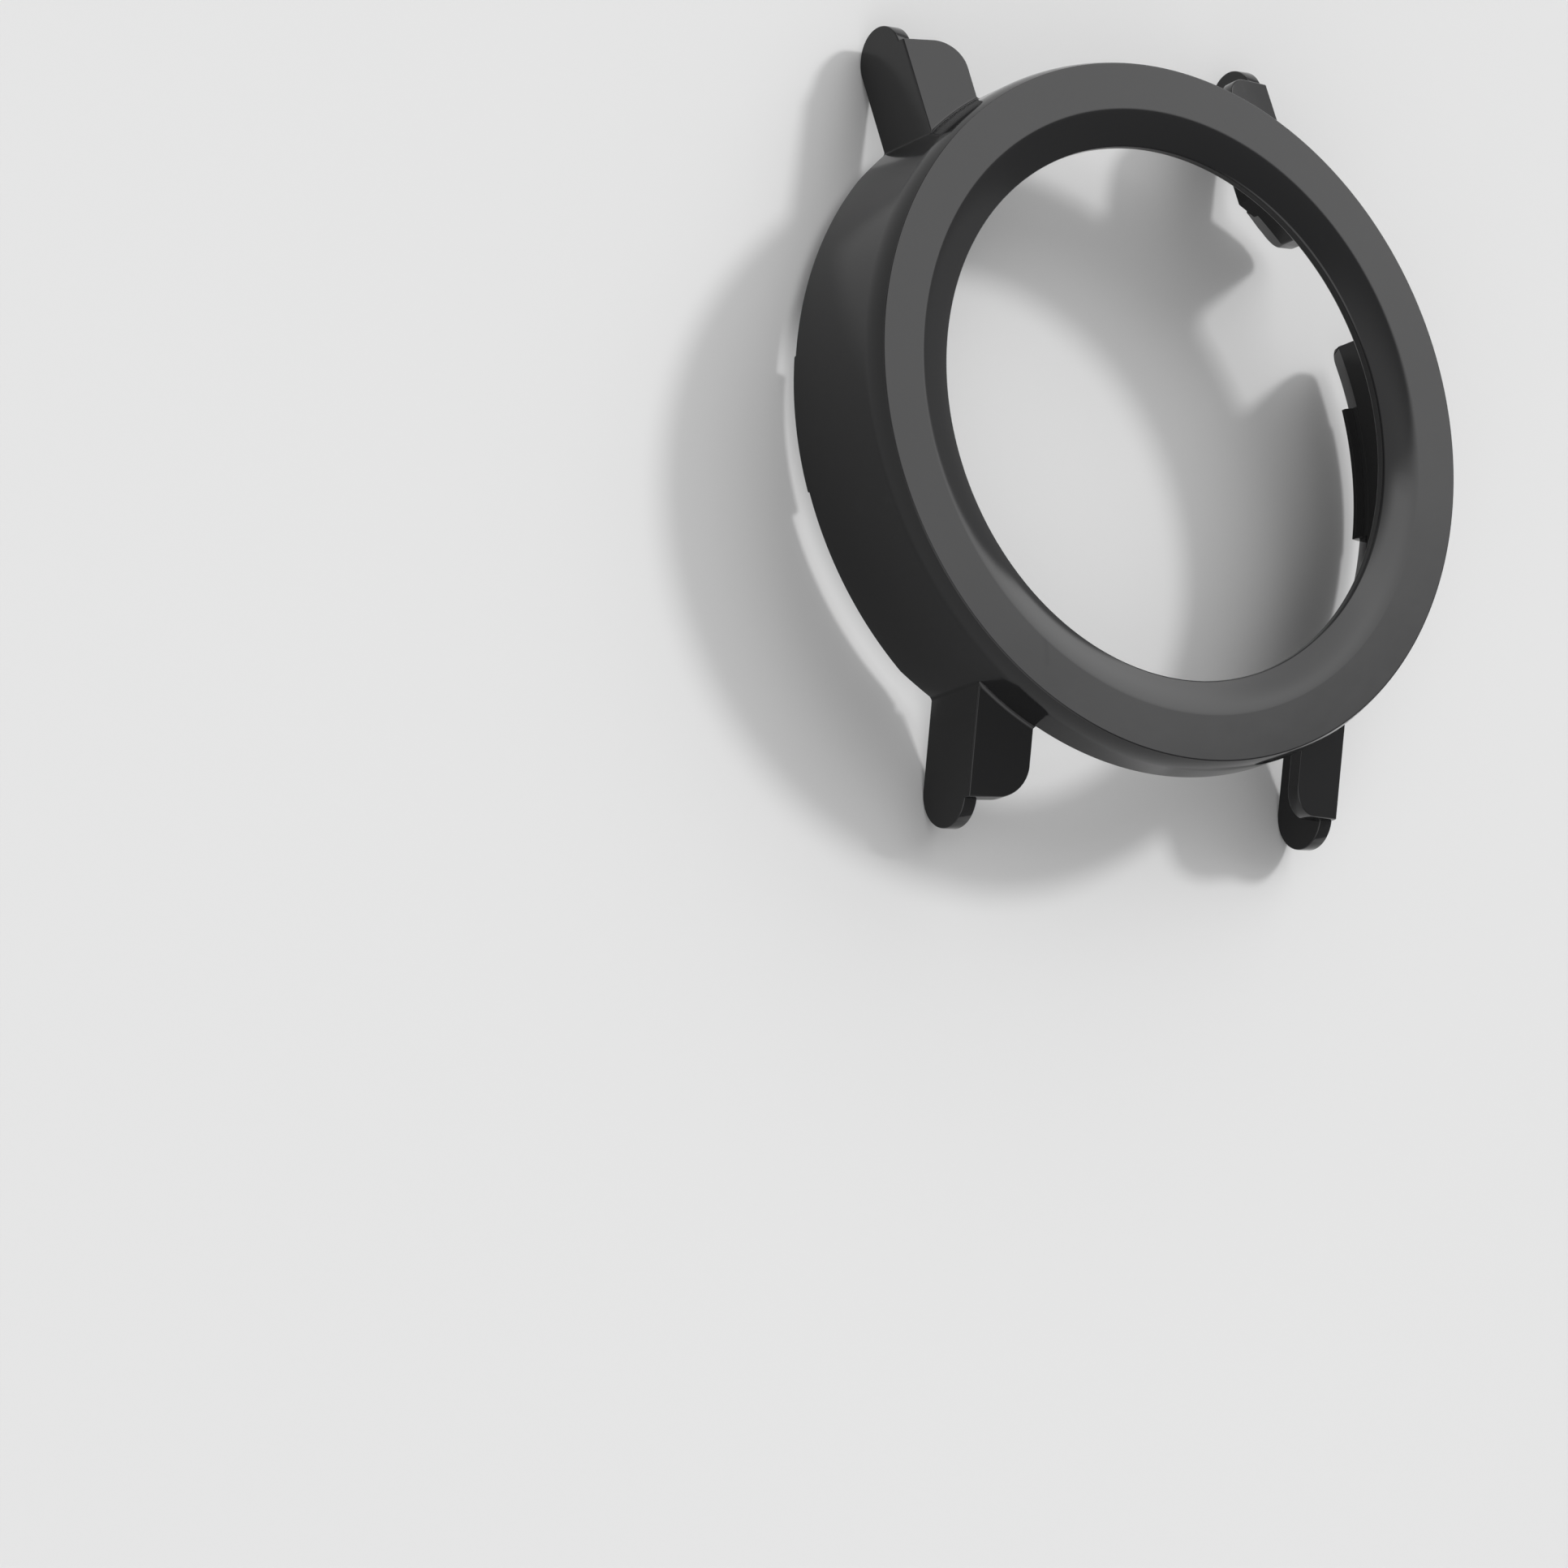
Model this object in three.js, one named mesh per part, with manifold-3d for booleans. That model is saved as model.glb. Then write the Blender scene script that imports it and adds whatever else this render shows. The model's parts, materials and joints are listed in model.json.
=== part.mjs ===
import * as THREE from 'three';
import { mergeVertices } from 'three/addons/utils/BufferGeometryUtils.js';
import Module from 'manifold-3d';

// A hard bumper case for a round smartwatch: a dished bezel ring, a skirt that wraps the watch head,
// two snap walls with hooks that spring outwards, and four L-shaped guards over the watch's lugs.
// Lengths are in millimetres. +Z is out of the dial, +Y is 12 o'clock and +X is 3 o'clock.
// Depths run backwards from the front face, and the guards' lowest points stand on z = 0.

// Watch that the case fits
const watchRadius = 22.4;
const watchClearance = 0.1;
const strapWidth = 22;
const lugWidth = 4.12;

// Bezel ring
const bandWidth = 3;
const dishWidth = 2.45;
const dishDepth = 0.62;
const dishPower = 1.6;
const plateThickness = 1.5;
const flangeStep = 0.25;
const lipRound = 0.22;
const edgeFlare = 0.33;
const edgeDrop = 1.65;

// Skirt round the watch head
const wallThickness = 1.13;
const skirtDepth = 9.4;
const strapWallDepth = 3.6;
const rimThickness = 0.55;
const leadInHeight = 1.4;
const rimRiseLength = 1.8;

// Crown cut-out in the right wall, with a narrow post of wall between it and the lug guard
const crownPost = 3.36;
const crownWidth = 6.7;
const crownTopDepth = 3;
const crownCornerRadius = 1.2;
const crownMouthRadius = 0.9;

// Snap walls and their hooks, at 3 and 9 o'clock
const hookCentreY = -0.45;
const hookLength = 9;
const hookReach = 0.35;
const hookHeight = 0.9;
const hookFlat = 0.35;
const hookDrop = 0.11;
const snapMargin = 2;
const snapGap = 0.3;

// Lug guards: a front plate over each lug, which falls away along the lug and to its outer side,
// and an upright strip with a round end beside it
const guardThickness = 1.05;
const guardSlope = THREE.MathUtils.degToRad(17);
const guardTilt = THREE.MathUtils.degToRad(10.7);
const guardRootDepth = 3.67;
const frontLength = 7.04;
const frontCornerShare = 0.46;
const stripWidth = 4.5;
const stripLength = 8.54;
const stripStep = 0.48;

// Moulding split into its working regions, with a hairline seam between them
const seam = 0.1;
const overrun = 3;

// Facets: whole turns of the rings, and turns of the small arcs
const ringSteps = 144;
const arcSteps = 12;

// Sizes that follow from the ones above
const innerRadius = watchRadius + watchClearance;
const skirtRadius = innerRadius + wallThickness;
const faceRadius = skirtRadius - edgeFlare;
const dishOuterRadius = faceRadius - bandWidth;
const openingRadius = dishOuterRadius - dishWidth;
const flangeDepth = plateThickness + flangeStep;
const edgeRadius = (edgeFlare ** 2 + edgeDrop ** 2) / (edgeFlare * 2);
const edgeTurn = Math.asin(edgeDrop / edgeRadius);
const dishEndSlope = Math.atan(dishPower * dishDepth / (dishWidth - lipRound / 2));
const dishEndRadius = openingRadius + lipRound * (1 - Math.sin(dishEndSlope));
const guardOuterX = strapWidth / 2 + lugWidth;
const guardInnerX = guardOuterX - guardThickness;
const guardRootY = Math.sqrt(skirtRadius ** 2 - guardOuterX ** 2);
const guardRise = Math.tan(guardSlope);
const guardFall = Math.tan(guardTilt);
const strapSideX = strapWidth / 2;
const frontReach = guardRootY + frontLength;
const stripReach = guardRootY + stripLength;
const frontCornerRadius = lugWidth * frontCornerShare;
const plateDrop = guardThickness * Math.hypot(1, guardRise, guardFall);
const stripDrop = stripWidth / Math.cos(guardSlope);
const endRadius = stripWidth / 2;
const endCentreY = stripReach - endRadius;
const endCentreDepth = topDepth(endCentreY) + stripStep + stripDrop / 2;
const totalHeight = endCentreDepth + endRadius;
const guardStartY = innerRadius / 2;
const outside = stripReach + overrun;
const crownHighY = guardRootY - crownPost;
const crownLowY = crownHighY - crownWidth;
const hookLowY = hookCentreY - hookLength / 2;
const hookHighY = hookCentreY + hookLength / 2;
const snapLowY = hookLowY - snapMargin;
const snapHighY = hookHighY + snapMargin;

const wasm = await Module();
wasm.setup();

// Height of a point that lies this far behind the front face
function up(depth) {
  return totalHeight - depth;
}

// Depth of the front plates' outer edge, the fold, at a distance y from the case's middle
function topDepth(y) {
  return guardRootDepth + (y - guardRootY) * guardRise;
}

// Depth of the side strips' rear edge at a distance y from the case's middle
function lowerDepth(y) {
  return topDepth(y) + stripStep + stripDrop;
}

// Turns a closed geometry into a solid, with its faces pointing out
function solid(geometry) {
  const bare = geometry.clone();
  bare.deleteAttribute('normal');
  bare.deleteAttribute('uv');
  const merged = mergeVertices(bare);
  const places = merged.attributes.position.array;
  const corners = Array.from(merged.index.array);
  let volume = 0;
  for (let i = 0; i < corners.length; i += 3) {
    const [a, b, c] = [0, 1, 2].map((k) => new THREE.Vector3().fromArray(places, corners[i + k] * 3));
    volume += a.dot(b.cross(c));
  }
  if (volume < 0) corners.reverse();
  const mesh = new wasm.Mesh({
    numProp: 3,
    vertProperties: new Float32Array(places),
    triVerts: new Uint32Array(corners),
  });
  return new wasm.Manifold(mesh);
}

// A ring turned about Z from a closed profile of [radius, depth] points
function turned(profile) {
  const points = profile.map(([radius, depth]) => new THREE.Vector2(radius, up(depth)));
  points.push(points[0].clone());
  const lathe = new THREE.LatheGeometry(points, ringSteps);
  lathe.rotateX(Math.PI / 2);
  return solid(lathe);
}

// A disc about Z between two depths
function disc(radius, fromDepth, toDepth) {
  const height = toDepth - fromDepth;
  const cylinder = new THREE.CylinderGeometry(radius, radius, height, ringSteps);
  cylinder.rotateX(Math.PI / 2);
  cylinder.translate(0, 0, up(fromDepth + height / 2));
  return solid(cylinder);
}

// A block between two corners, its third sizes given as depths
function block(x0, x1, y0, y1, fromDepth, toDepth) {
  const box = new THREE.BoxGeometry(x1 - x0, y1 - y0, toDepth - fromDepth);
  box.translate((x0 + x1) / 2, (y0 + y1) / 2, up((fromDepth + toDepth) / 2));
  return solid(box);
}

// An outline drawn in Y and height, extruded along X
function alongX(shape, x0, x1) {
  const prism = new THREE.ExtrudeGeometry(shape, { depth: x1 - x0, bevelEnabled: false, curveSegments: arcSteps });
  const axes = new THREE.Matrix4().makeBasis(
    new THREE.Vector3(0, 1, 0), new THREE.Vector3(0, 0, 1), new THREE.Vector3(1, 0, 0));
  prism.applyMatrix4(axes);
  prism.translate(x0, 0, 0);
  return solid(prism);
}

// An outline drawn in X and Y, extruded from one depth to another
function alongZ(shape, fromDepth, toDepth) {
  const height = toDepth - fromDepth;
  const prism = new THREE.ExtrudeGeometry(shape, { depth: height, bevelEnabled: false, curveSegments: arcSteps });
  prism.translate(0, 0, up(toDepth));
  return solid(prism);
}

// A shape through [across, height] points
function outline(points) {
  return new THREE.Shape(points.map(([across, height]) => new THREE.Vector2(across, height)));
}

// A solid back as a geometry, mirrored in X or Y where its sign is -1
function geometryOf(body, signX, signY) {
  const mesh = body.getMesh();
  const places = Array.from(mesh.vertProperties);
  const corners = Array.from(mesh.triVerts);
  if (signX * signY < 0) corners.reverse();
  const geometry = new THREE.BufferGeometry();
  geometry.setAttribute('position', new THREE.Float32BufferAttribute(places, 3));
  geometry.setIndex(corners);
  geometry.scale(signX, signY, 1);
  geometry.computeVertexNormals();
  return geometry;
}

// Gloss black polycarbonate
function glossBlack() {
  return new THREE.MeshStandardMaterial({ color: 0x1c1c1e, roughness: 0.18, metalness: 0 });
}

const bumperCase = new THREE.Group();

function addPiece(name, body, signX = 1, signY = 1) {
  const mesh = new THREE.Mesh(geometryOf(body, signX, signY), glossBlack());
  mesh.name = name;
  bumperCase.add(mesh);
}

// Points along a curve, from its start to its end: place(share) is the point at that share of it
function curve(place) {
  const count = arcSteps / 2;
  return Array.from({ length: count + 1 }, (_, i) => place(i / count));
}

// The dish starts level at the band and steepens all the way down to the lip
function dishPoint(share) {
  const radius = dishOuterRadius + (dishEndRadius - dishOuterRadius) * share;
  return [radius, dishDepth * share ** dishPower];
}

// The lip carries on at the dish's last slope, and turns until it faces the opening
function lipPoint(share) {
  const turn = dishEndSlope + (Math.PI / 2 - dishEndSlope) * share;
  const radius = openingRadius + lipRound * (1 - Math.sin(turn));
  return [radius, dishDepth + lipRound * (Math.cos(dishEndSlope) - Math.cos(turn))];
}

// The edge leaves the skirt smoothly and leans in to the crisp rim of the band
function edgePoint(share) {
  const turn = edgeTurn * share;
  return [skirtRadius - edgeRadius * (1 - Math.cos(turn)), edgeDrop - edgeRadius * Math.sin(turn)];
}

// The bezel ring: a flat band, a dish down to the rounded lip of the dial opening, a leaning edge
// that runs into the skirt, and on its back a flat seat for the watch's front rim inside a flange
function bezelRing() {
  return turned([
    ...curve(dishPoint),
    ...curve(lipPoint).slice(1),
    [openingRadius, plateThickness - lipRound],
    [openingRadius + lipRound, plateThickness],
    [innerRadius, plateThickness],
    [innerRadius, flangeDepth],
    [skirtRadius, flangeDepth],
    ...curve(edgePoint),
  ]);
}

// The full-depth skirt all round, thinned by a lead-in at its rear rim
function skirtRing(fromDepth) {
  return turned([
    [innerRadius, fromDepth],
    [skirtRadius, fromDepth],
    [skirtRadius, skirtDepth],
    [skirtRadius - rimThickness, skirtDepth],
    [innerRadius, skirtDepth - leadInHeight],
  ]);
}

// A snap hook's ring: it grips behind the watch's back edge and reaches a little below the rim
function hookRing() {
  const tipDepth = skirtDepth - hookHeight + hookReach;
  return turned([
    [skirtRadius, skirtDepth - hookHeight - overrun],
    [skirtRadius, skirtDepth + hookDrop],
    [skirtRadius - rimThickness, skirtDepth + hookDrop],
    [innerRadius - hookReach, tipDepth + hookFlat],
    [innerRadius - hookReach, tipDepth],
    [innerRadius, skirtDepth - hookHeight],
    [innerRadius, skirtDepth - hookHeight - overrun],
  ]);
}

// The rim rises towards each guard's lower edge, so the wall's rear corner is cut off at a slant
function rimRise() {
  const riseY = guardRootY - rimRiseLength;
  return alongX(outline([
    [riseY, up(skirtDepth)],
    [guardRootY, up(lowerDepth(guardRootY))],
    [outside, up(lowerDepth(guardRootY))],
    [outside, up(skirtDepth + overrun)],
    [riseY, up(skirtDepth + overrun)],
  ]), guardOuterX, outside);
}

// The opening for the crown: rounded at its top, and flared where it meets the rear rim
function crownCut() {
  const shape = new THREE.Shape();
  const top = up(crownTopDepth);
  const bottom = up(skirtDepth);
  shape.moveTo(crownLowY - crownMouthRadius, bottom - overrun);
  shape.lineTo(crownHighY + crownMouthRadius, bottom - overrun);
  shape.lineTo(crownHighY + crownMouthRadius, bottom);
  shape.absarc(crownHighY + crownMouthRadius, bottom + crownMouthRadius, crownMouthRadius,
    -Math.PI / 2, -Math.PI, true);
  shape.lineTo(crownHighY, top - crownCornerRadius);
  shape.absarc(crownHighY - crownCornerRadius, top - crownCornerRadius, crownCornerRadius, 0, Math.PI / 2, false);
  shape.lineTo(crownLowY + crownCornerRadius, top);
  shape.absarc(crownLowY + crownCornerRadius, top - crownCornerRadius, crownCornerRadius,
    Math.PI / 2, Math.PI, false);
  shape.lineTo(crownLowY, bottom + crownMouthRadius);
  shape.absarc(crownLowY - crownMouthRadius, bottom + crownMouthRadius, crownMouthRadius, 0, -Math.PI / 2, true);
  shape.closePath();
  return alongX(shape, guardOuterX, outside);
}

// A fixed stretch of the side skirt between two heights of Y, beside the lug guard's outer face
function sideWall(fromY, toY) {
  const stretch = block(guardOuterX + seam, outside, fromY, toY, 0, skirtDepth + overrun);
  return skirtRing(flangeDepth + seam).intersect(stretch).subtract(rimRise());
}

// A sprung stretch of the side skirt with its hook, free of the bezel and of its neighbours
function snapWall(fromY, toY) {
  const stretch = block(guardOuterX + seam, outside, fromY, toY, 0, skirtDepth + overrun);
  const hookStretch = block(guardOuterX + seam, outside, hookLowY, hookHighY, 0, skirtDepth + overrun);
  const wall = skirtRing(flangeDepth + snapGap).intersect(stretch);
  return wall.add(hookRing().intersect(hookStretch));
}

// The short skirt between the lugs, which leaves the strap free
function strapWall() {
  const ring = turned([
    [innerRadius, flangeDepth + seam],
    [skirtRadius, flangeDepth + seam],
    [skirtRadius, strapWallDepth],
    [innerRadius, strapWallDepth],
  ]);
  return ring.intersect(block(-guardOuterX, guardOuterX, 0, outside, 0, strapWallDepth + overrun));
}

// Everything that must stay clear for the watch head, as one plug
function watchPlug() {
  return disc(innerRadius, 0, totalHeight + overrun);
}

// What lies behind the short skirt and outside the watch head
function guardSpace() {
  const behind = block(0, outside, 0, outside, strapWallDepth + seam, totalHeight + overrun);
  return behind.subtract(watchPlug());
}

// A slab on the slope of a guard's front plate, seen from the front as a strip with one round corner,
// from so far in front of the plate's face to so far behind it, and grown outwards by a gap
function frontSlab(inFront, behind, gap) {
  const plan = new THREE.Shape();
  plan.moveTo(strapSideX, guardStartY);
  plan.lineTo(guardOuterX + gap, guardStartY);
  plan.lineTo(guardOuterX + gap, frontReach + gap);
  plan.lineTo(strapSideX + frontCornerRadius, frontReach + gap);
  plan.absarc(strapSideX + frontCornerRadius, frontReach + gap - frontCornerRadius, frontCornerRadius,
    Math.PI / 2, Math.PI, false);
  plan.closePath();
  const slab = new THREE.ExtrudeGeometry(plan, {
    depth: inFront + behind,
    bevelEnabled: false,
    curveSegments: arcSteps,
  });
  slab.translate(-guardOuterX, -guardRootY, -behind);
  slab.applyMatrix4(new THREE.Matrix4().set(
    1, 0, 0, guardOuterX,
    0, 1, 0, guardRootY,
    -guardFall, -guardRise, 1, up(guardRootDepth),
    0, 0, 0, 1));
  return solid(slab);
}

// A guard's front plate
function guardFrontPlate() {
  return frontSlab(0, plateDrop, 0).intersect(guardSpace());
}

// A guard's side strip: it slopes back along the lug's flank, a step behind the front plate's face,
// and its round end reaches past the front plate
function guardSideStrip() {
  const shape = new THREE.Shape();
  shape.moveTo(guardStartY, up(lowerDepth(guardStartY) - stripDrop));
  shape.lineTo(guardStartY, up(lowerDepth(guardStartY)));
  shape.absarc(endCentreY, up(endCentreDepth), endRadius,
    -Math.PI / 2 - guardSlope, Math.PI / 2 - guardSlope, false);
  shape.closePath();
  const strip = alongX(shape, guardInnerX, guardOuterX);
  return strip.subtract(frontSlab(overrun, plateDrop + seam, seam)).intersect(guardSpace());
}

addPiece('bezel_ring', bezelRing());
addPiece('strap_wall_top', strapWall());
addPiece('strap_wall_bottom', strapWall(), 1, -1);

addPiece('side_wall_top_left', sideWall(snapHighY + snapGap, outside), -1, 1);
addPiece('side_wall_bottom_left', sideWall(-snapLowY + snapGap, outside), -1, -1);
addPiece('side_wall_top_right', sideWall(crownLowY + snapGap, outside).subtract(crownCut()));
addPiece('side_wall_bottom_right', sideWall(-snapLowY + snapGap, outside), 1, -1);

addPiece('snap_wall_left', snapWall(snapLowY, snapHighY), -1, 1);
addPiece('snap_wall_right', snapWall(snapLowY, crownLowY).subtract(crownCut()));

const corners = [
  { place: 'top_left', signX: -1, signY: 1 },
  { place: 'top_right', signX: 1, signY: 1 },
  { place: 'bottom_left', signX: -1, signY: -1 },
  { place: 'bottom_right', signX: 1, signY: -1 },
];

for (const { place, signX, signY } of corners) {
  addPiece(`lug_guard_side_${place}`, guardSideStrip(), signX, signY);
  addPiece(`lug_guard_front_${place}`, guardFrontPlate(), signX, signY);
}

export default bumperCase;
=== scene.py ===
# %% [markdown]
# # A gloss black smartwatch bumper case
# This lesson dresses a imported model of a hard, gloss black bumper case. The real case is one
# injection moulding: a dished ring, a skirt behind it, two springy stretches of that skirt with
# a hook each, and four lug guards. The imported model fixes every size, so each piece here is
# drawn to the same sizes in millimetres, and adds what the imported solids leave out: the small
# radii of moulded edges, and the finish.

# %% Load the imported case
import json
import math

import bmesh
import bpy
from mathutils import Matrix, Quaternion, Vector

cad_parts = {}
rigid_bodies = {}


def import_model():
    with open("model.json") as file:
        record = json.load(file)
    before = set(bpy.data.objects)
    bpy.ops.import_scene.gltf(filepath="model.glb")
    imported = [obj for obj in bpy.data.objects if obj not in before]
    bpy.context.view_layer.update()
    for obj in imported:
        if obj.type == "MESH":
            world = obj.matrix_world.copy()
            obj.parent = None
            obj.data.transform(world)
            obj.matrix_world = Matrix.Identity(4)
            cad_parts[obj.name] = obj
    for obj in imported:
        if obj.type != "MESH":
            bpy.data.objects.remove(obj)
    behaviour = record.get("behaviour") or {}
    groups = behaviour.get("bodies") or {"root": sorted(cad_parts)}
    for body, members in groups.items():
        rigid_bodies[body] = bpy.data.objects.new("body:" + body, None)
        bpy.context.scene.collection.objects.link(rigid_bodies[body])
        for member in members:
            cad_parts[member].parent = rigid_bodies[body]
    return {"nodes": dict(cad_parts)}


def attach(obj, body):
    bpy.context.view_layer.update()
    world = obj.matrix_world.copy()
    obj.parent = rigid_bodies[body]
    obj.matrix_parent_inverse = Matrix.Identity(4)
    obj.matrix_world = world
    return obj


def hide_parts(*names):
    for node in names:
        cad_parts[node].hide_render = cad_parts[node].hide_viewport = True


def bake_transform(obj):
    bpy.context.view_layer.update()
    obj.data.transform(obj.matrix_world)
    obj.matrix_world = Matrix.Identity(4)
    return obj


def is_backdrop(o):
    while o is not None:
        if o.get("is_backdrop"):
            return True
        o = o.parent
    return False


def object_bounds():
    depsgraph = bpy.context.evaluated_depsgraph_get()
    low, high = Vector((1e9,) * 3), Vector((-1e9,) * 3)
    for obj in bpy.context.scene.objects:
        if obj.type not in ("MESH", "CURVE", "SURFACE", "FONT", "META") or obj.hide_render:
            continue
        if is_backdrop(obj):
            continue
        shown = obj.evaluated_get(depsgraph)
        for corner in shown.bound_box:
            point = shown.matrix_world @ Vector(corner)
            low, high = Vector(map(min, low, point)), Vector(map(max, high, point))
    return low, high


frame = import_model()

cad_low, cad_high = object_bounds()
MM = 0.001
front = cad_high.z / MM
print("CAD box in mm:", [round(v / MM, 2) for v in (*cad_low, *cad_high)])

# %% [markdown]
# ## Sizes that the pieces share
# Depths run backwards from the flat front band. The skirt is a thin wall round a 45 mm bore, and
# the lug guards stand on it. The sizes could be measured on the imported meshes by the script, but
# a written size says what it is for. Sizes that one piece alone needs are written where that
# piece is made.

# %% Shared sizes
BORE = 22.5
SKIRT = 23.63
FLANGE_DEPTH = 1.75
SKIRT_DEPTH = 9.4
STRAP_DEPTH = 3.6
RIM = 0.7
LEAD_IN = 1.4
GUARD_X = 15.12
STRAP_X = 11
CLOSE, NEAR = 0.001, 0.01


def at(x, y, depth):
    """A place on the case in metres, from millimetres and a depth behind the front band."""
    return Vector((x, y, front - depth)) * MM


print("The skirt's wall is", round(SKIRT - BORE, 2), "mm thick")

# %% [markdown]
# ## Turning a profile
# The ring and the skirt are round forms, as if cut on a lathe. A Screw modifier could sweep
# their profile, but a plain loop over the angles keeps every point's radius and depth as they
# are written, which the exact normals further down rely on. One degree a step looks round.

# %% Sweep a profile round the dial's axis
def piece_from(mesh, name):
    """A new object of the scene with this mesh."""
    data = bpy.data.meshes.new(name)
    mesh.to_mesh(data)
    mesh.free()
    piece = bpy.data.objects.new(name, data)
    bpy.context.scene.collection.objects.link(piece)
    return piece


def turned(name, profile, start=0, stop=360):
    """A closed profile of (radius, depth) points, swept one degree at a time."""
    mesh = bmesh.new()
    whole = stop - start == 360
    columns = []
    for degree in range(start, stop + (0 if whole else 1)):
        c, s = math.cos(math.radians(degree)), math.sin(math.radians(degree))
        columns.append([mesh.verts.new(at(r * c, r * s, d)) for r, d in profile])
    pairs = list(zip(columns, columns[1:]))
    if whole:
        pairs.append((columns[-1], columns[0]))
    else:
        mesh.faces.new(columns[0])
        mesh.faces.new(list(reversed(columns[-1])))
    for near, far in pairs:
        for i in range(len(profile)):
            k = (i + 1) % len(profile)
            mesh.faces.new((near[i], far[i], far[k], near[k]))
    bmesh.ops.recalc_face_normals(mesh, faces=mesh.faces)
    return piece_from(mesh, name)


# %% [markdown]
# ## Moulded edges
# No edge of a moulding is sharp: each has a small radius, and on gloss black that radius is all
# one sees of many edges, as a thin bright or dark line. A shader could fake it, but then the
# outline would stay sharp, so a Bevel modifier rounds the mesh. A rule picks the edges, and each
# gets its own share of the largest radius. The result is kept as a plain mesh, so that the next
# step starts from real edges.

# %% Round the picked edges
LARGEST_RADIUS = 0.5
CRISP, SOFT = 0.07, 0.1
WORTH_ROUNDING = math.radians(20)


def keep(piece):
    """Turns what the modifiers show into the piece's own mesh."""
    shown = piece.evaluated_get(bpy.context.evaluated_depsgraph_get())
    data = bpy.data.meshes.new_from_object(shown)
    piece.modifiers.clear()
    old, piece.data = piece.data, data
    bpy.data.meshes.remove(old)


def round_edges(piece, radius_of):
    """Rounds each outer edge by radius_of(middle, edge) in mm, where 0 leaves it sharp."""
    mesh = bmesh.new()
    mesh.from_mesh(piece.data)
    weight = mesh.edges.layers.float.new("bevel_weight_edge")
    for edge in mesh.edges:
        if len(edge.link_faces) == 2 and edge.is_convex and edge.calc_face_angle(0) > WORTH_ROUNDING:
            middle = (edge.verts[0].co + edge.verts[1].co) / (2 * MM)
            edge[weight] = radius_of(middle, edge) / LARGEST_RADIUS
    mesh.to_mesh(piece.data)
    mesh.free()
    step = piece.modifiers.new("moulded edges", "BEVEL")
    step.limit_method = "WEIGHT"
    step.width = LARGEST_RADIUS * MM
    step.segments = 4
    step.use_clamp_overlap = False
    step.miter_inner = "MITER_SHARP"
    keep(piece)


# %% [markdown]
# ### Normals
# A reflection shows the direction of the surface far more than its place. Plain smooth shading
# would bend the flat faces near their rounded edges. So a Weighted Normal modifier lets the
# large faces decide, and wherever the surface is turned, its true direction is worked out from
# the drawing, so that reflections run over it without a kink.

# %% Settle the normals
STAYS_SHARP = math.radians(35)
SQUARE = 0.0005


def wall_normal(face, radius, depth):
    """Straight out from the axis or in on an upright turned face, and square to the lead-in."""
    flat = Vector((face.center.x, face.center.y, 0)).normalized()
    outward = face.normal.dot(flat)
    if abs(outward) > 1 - SQUARE:
        return math.copysign(1, outward), 0
    lean = math.atan2(SKIRT - BORE - RIM, LEAD_IN)
    return (-math.cos(lean), -math.sin(lean)) if abs(outward + math.cos(lean)) < SQUARE else None


def settle_normals(piece, exact=wall_normal):
    """Smooth faces that break at sharp edges, with the exact normal wherever it is known."""
    mesh = bmesh.new()
    mesh.from_mesh(piece.data)
    for edge in mesh.edges:
        edge.smooth = len(edge.link_faces) == 2 and edge.calc_face_angle(0) < STAYS_SHARP
    for face in mesh.faces:
        face.smooth = True
    mesh.to_mesh(piece.data)
    mesh.free()
    step = piece.modifiers.new("weighted", "WEIGHTED_NORMAL")
    step.weight = 90
    step.keep_sharp = True
    keep(piece)
    data = piece.data
    normals = [Vector(n.vector) for n in data.corner_normals]
    for face in data.polygons:
        for loop in face.loop_indices:
            x, y, z = data.vertices[data.loops[loop].vertex_index].co / MM
            radius = math.hypot(x, y)
            known = exact(face, radius, front - z)
            if known:
                outward, forward = known
                normals[loop] = Vector((x / radius * outward, y / radius * outward, forward))
    data.normals_split_custom_set(normals)


# %% [markdown]
# ## The bezel ring
# The ring is what one looks at. A flat polished band runs round it. Inside the band the surface
# starts level and steepens all the way down to the dial opening, as a shallow dish does, and
# turns over a fully round lip. Outside, a leaning edge curves from the skirt up to the crisp rim
# of the band. The dish is a power curve and the other two are arcs. The profile has many short
# steps, closest where the dish leaves the band, because a gloss surface shows every kink.

# %% Draw the ring's section
FACE = 23.3
BAND_INNER = 20.3
OPENING = 17.85
DISH_DEPTH = 0.62
DISH_POWER = 1.6
LIP = 0.22
PLATE = 1.5
EDGE_DROP = 1.65

dish_slope = math.atan(DISH_POWER * DISH_DEPTH / (BAND_INNER - OPENING - LIP / 2))
dish_end = OPENING + LIP * (1 - math.sin(dish_slope))
lip_top = DISH_DEPTH + LIP * math.cos(dish_slope)
edge_flare = SKIRT - FACE
edge_radius = (edge_flare ** 2 + EDGE_DROP ** 2) / (2 * edge_flare)
edge_turn = math.asin(EDGE_DROP / edge_radius)


def shares(count, power=1):
    """From 0 to 1 in steps, which are even, or closer near 0 for a power over 1."""
    return [(i / count) ** power for i in range(count + 1)]


def dish_point(share):
    return BAND_INNER + (dish_end - BAND_INNER) * share, DISH_DEPTH * share ** DISH_POWER


def lip_point(turn):
    return OPENING + LIP * (1 - math.sin(turn)), lip_top - LIP * math.cos(turn)


def edge_point(turn):
    return SKIRT - edge_radius * (1 - math.cos(turn)), EDGE_DROP - edge_radius * math.sin(turn)


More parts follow.
